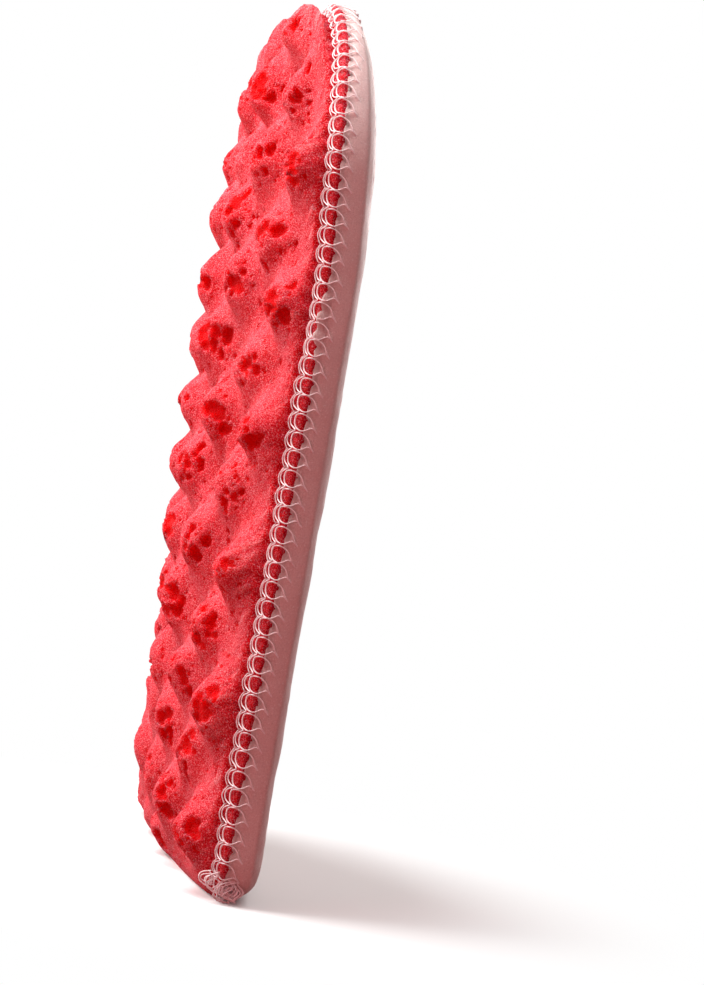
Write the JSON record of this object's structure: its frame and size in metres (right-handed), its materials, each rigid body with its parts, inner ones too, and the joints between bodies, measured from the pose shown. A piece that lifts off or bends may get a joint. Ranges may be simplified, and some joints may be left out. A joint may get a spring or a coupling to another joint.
{
  "type": "bath massage glove",
  "caption": "Hand-width bath glove: a bumpy massage foam face and a fine scrub foam face, overlock-stitched round sides and top, open at the lower end.",
  "frame": {"origin": "on the floor plane under the middle of the glove's bounding box, with the glove standing on its open mouth", "axes": "+Z runs along the glove from its mouth to its rounded top, +X runs across its width, and -Y faces out of the bumpy massage layer"},
  "size_m": [0.1264, 0.0298, 0.2007],
  "materials": {
    "massage_foam": "matt open-cell foam",
    "scrub_foam": "matt fine-cell foam",
    "seam_thread": "slightly shiny multifilament thread"
  },
  "bodies": {
    "root": {"massage_pad": "massage_foam", "scrub_pad": "scrub_foam", "needle_thread": "seam_thread", "upper_looper_thread": "seam_thread", "lower_looper_thread": "seam_thread", "right_thread_tail": "seam_thread", "left_thread_tail": "seam_thread"}
  },
  "joints": []
}
